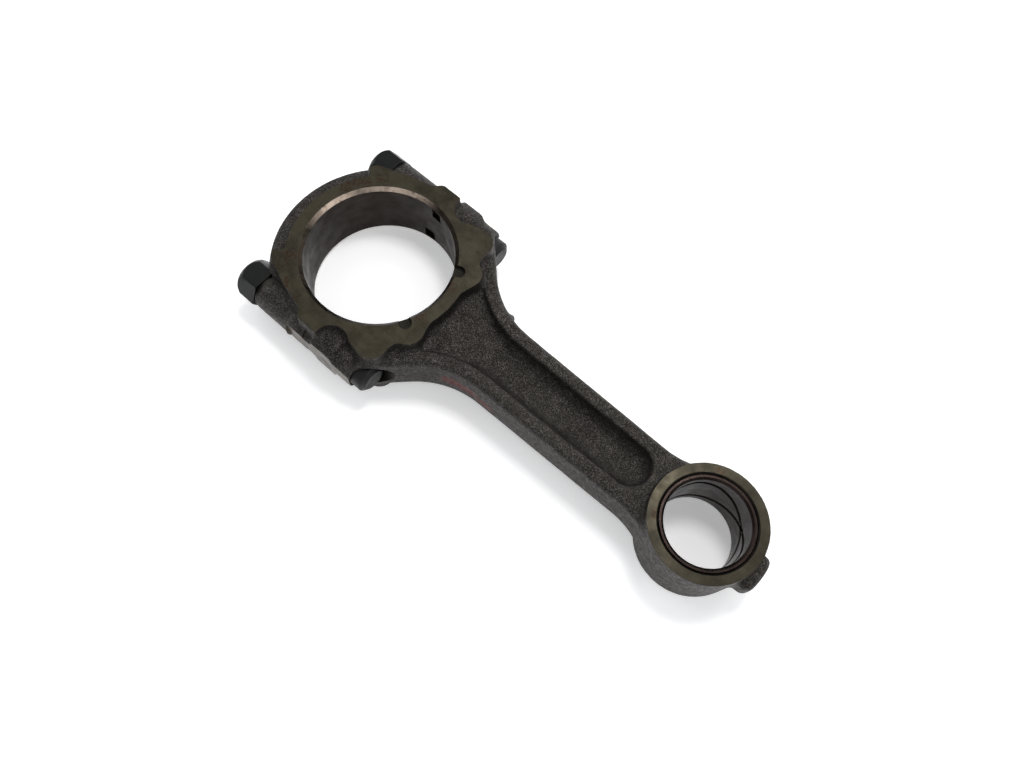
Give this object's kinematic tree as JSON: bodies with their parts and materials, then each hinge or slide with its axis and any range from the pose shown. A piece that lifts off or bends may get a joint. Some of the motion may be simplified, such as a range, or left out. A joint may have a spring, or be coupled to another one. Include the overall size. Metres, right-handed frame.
{
  "type": "connecting rod",
  "caption": "Forged connecting rod with split big end, bolted bearing cap, fitted bolts with nuts, I-beam shank and bushed small end.",
  "frame": {"origin": "centre of the big-end bore, at mid-width", "axes": "+Z along the big-end bore, +X along the rod from the big end to the small end, +Y towards the left bolt; the rod rests on its machined faces"},
  "size_m": [0.2814, 0.111, 0.034],
  "materials": {
    "forged_steel": "shot-blasted dark forging with dull ground faces",
    "bush_bronze": "worn bronze, pinkish brown",
    "bolt_steel": "phosphated, dark grey",
    "washer_steel": "hardened, dull grey",
    "nut_black": "black oxide, oily"
  },
  "bodies": {
    "rod": {"rod_body": "forged_steel", "small_end_bush": "bush_bronze"},
    "cap": {"bearing_cap": "forged_steel"},
    "left_bolt": {"bolt_left": "bolt_steel"},
    "right_bolt": {"bolt_right": "bolt_steel"},
    "left_washer": {"washer_left": "washer_steel"},
    "right_washer": {"washer_right": "washer_steel"},
    "left_nut": {"nut_left": "nut_black"},
    "right_nut": {"nut_right": "nut_black"}
  },
  "joints": [
    {"name": "cap_slide", "type": "slide", "parent": "rod", "child": "cap", "axis": [-1, 0, 0], "range_m": [0, 0.07]},
    {"name": "bolt_left_slide", "type": "slide", "parent": "rod", "child": "left_bolt", "axis": [1, 0, 0], "range_m": [0, 0.09]},
    {"name": "bolt_right_slide", "type": "slide", "parent": "rod", "child": "right_bolt", "axis": [1, 0, 0], "range_m": [0, 0.09]},
    {"name": "washer_left_slide", "type": "slide", "parent": "cap", "child": "left_washer", "axis": [-1, 0, 0], "range_m": [0, 0.01624]},
    {"name": "nut_left_spin", "type": "hinge", "parent": "left_washer", "child": "left_nut", "pos_m": [-0.04, 0.0445, 0], "axis": [-1, 0, 0], "range_deg": [0, 4680]},
    {"name": "washer_right_slide", "type": "slide", "parent": "cap", "child": "right_washer", "axis": [-1, 0, 0], "range_m": [0, 0.01624]},
    {"name": "nut_right_spin", "type": "hinge", "parent": "right_washer", "child": "right_nut", "pos_m": [-0.04, -0.0445, 0], "axis": [-1, 0, 0], "range_deg": [0, 4680]}
  ],
  "couplings": [
    {"joint": "nut_left_spin", "follows": "washer_left_slide", "rad_per_m": 5026.5},
    {"joint": "nut_right_spin", "follows": "washer_right_slide", "rad_per_m": 5026.5}
  ]
}
